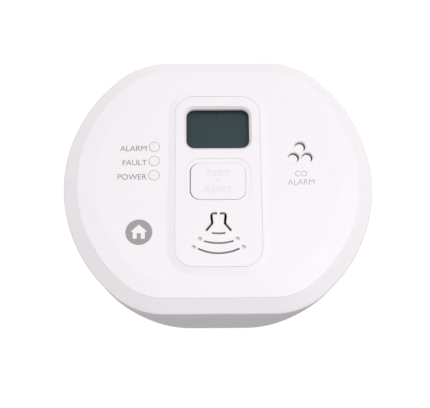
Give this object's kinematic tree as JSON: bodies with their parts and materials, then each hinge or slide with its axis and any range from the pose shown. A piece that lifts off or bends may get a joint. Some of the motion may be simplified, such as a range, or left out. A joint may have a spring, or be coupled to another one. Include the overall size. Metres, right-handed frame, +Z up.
{
  "type": "carbon monoxide detector",
  "caption": "Flat-topped round wall alarm with a display, test button, status lights, gas holes and horn slots, which hooks down onto a screwed mounting plate.",
  "frame": {"origin": "centre of the mounting plate's face against the wall", "axes": "+Z up the wall, +Y into the wall, so the alarm faces -Y, +X to the right as seen from the front"},
  "size_m": [0.1198, 0.044, 0.1048],
  "materials": {
    "cover_white": "fine satin moulding",
    "housing_white": "fine satin moulding",
    "plate_white": "plain moulding",
    "button_white": "fine satin moulding",
    "clear_pane": "clear polished pane",
    "lcd": "liquid crystal cell with polariser",
    "light_guide": "milky diffuser",
    "light_pipe": "frosted light pipe",
    "lamp": "small moulded lamp",
    "bezel": "black moulding",
    "zebra": "layered silicone connector",
    "label": "blank foil label",
    "screw_steel": "zinc-plated steel",
    "sensor_steel": "drawn steel can",
    "sensor_mesh": "black carbon filter cloth",
    "gasket": "closed-cell foam",
    "pin_metal": "tinned pins",
    "chamber": "black moulding",
    "disc_brass": "rolled brass disc",
    "ceramic": "silvered piezo ceramic",
    "spring_metal": "phosphor bronze strip",
    "gauze": "black woven gauze",
    "cell_steel": "nickel-plated can",
    "sleeve": "shrink sleeve, blank",
    "tab_nickel": "nickel strip",
    "board": "green solder mask on glass-epoxy",
    "chip": "black epoxy package",
    "coil": "enamelled copper on ferrite",
    "capacitor": "sleeved aluminium can",
    "small_part": "ceramic chips",
    "switch_black": "black moulding",
    "dome_steel": "spring steel dome"
  },
  "bodies": {
    "mounting_plate": {"mounting_plate": "plate_white"},
    "alarm": {"alarm_led": "lamp", "alarm_light_pipe": "light_pipe", "battery_cell": "cell_steel", "battery_sleeve": "sleeve", "battery_tabs": "tab_nickel", "board_screws": "screw_steel", "capacitors": "capacitor", "circuit_board": "board", "display_window": "clear_pane", "fault_led": "lamp", "fault_light_pipe": "light_pipe", "front_cover": "cover_white", "horn_ceramic": "ceramic", "horn_chamber": "chamber", "horn_contacts": "spring_metal", "horn_disc": "disc_brass", "horn_gasket": "gasket", "horn_grille_mesh": "gauze", "horn_transformer": "coil", "housing_screws": "screw_steel", "lcd_bezel": "bezel", "lcd_glass": "lcd", "lcd_light_guide": "light_guide", "lcd_zebra_strips": "zebra", "microcontroller": "chip", "power_led": "lamp", "power_light_pipe": "light_pipe", "power_switch_body": "switch_black", "rating_label": "label", "rear_housing": "housing_white", "sensor_can": "sensor_steel", "sensor_cap": "sensor_steel", "sensor_filter": "sensor_mesh", "sensor_gasket": "gasket", "sensor_pins": "pin_metal", "small_parts": "small_part", "tact_switch_body": "switch_black", "tact_switch_dome": "dome_steel"},
    "test_button": {"test_button": "button_white"},
    "tact_plunger": {"tact_switch_plunger": "switch_black"},
    "power_switch_slider": {"power_switch_slider": "switch_black"}
  },
  "joints": [
    {"name": "alarm_slide", "type": "slide", "parent": "mounting_plate", "child": "alarm", "axis": [0, 0, 1], "range_m": [0, 0.005]},
    {"name": "test_button_press", "type": "slide", "parent": "alarm", "child": "test_button", "axis": [0, 1, 0], "range_m": [0, 0.0005], "stiffness_N_per_m": 800, "springref_m": -0.0005},
    {"name": "tact_plunger_press", "type": "slide", "parent": "alarm", "child": "tact_plunger", "axis": [0, 1, 0], "range_m": [0, 0.0005]},
    {"name": "power_switch_slide", "type": "slide", "parent": "alarm", "child": "power_switch_slider", "axis": [0, 0, 1], "range_m": [-0.005, 0]}
  ],
  "couplings": [
    {"joint": "tact_plunger_press", "follows": "test_button_press", "ratio": 1},
    {"joint": "power_switch_slide", "follows": "alarm_slide", "ratio": -1}
  ]
}
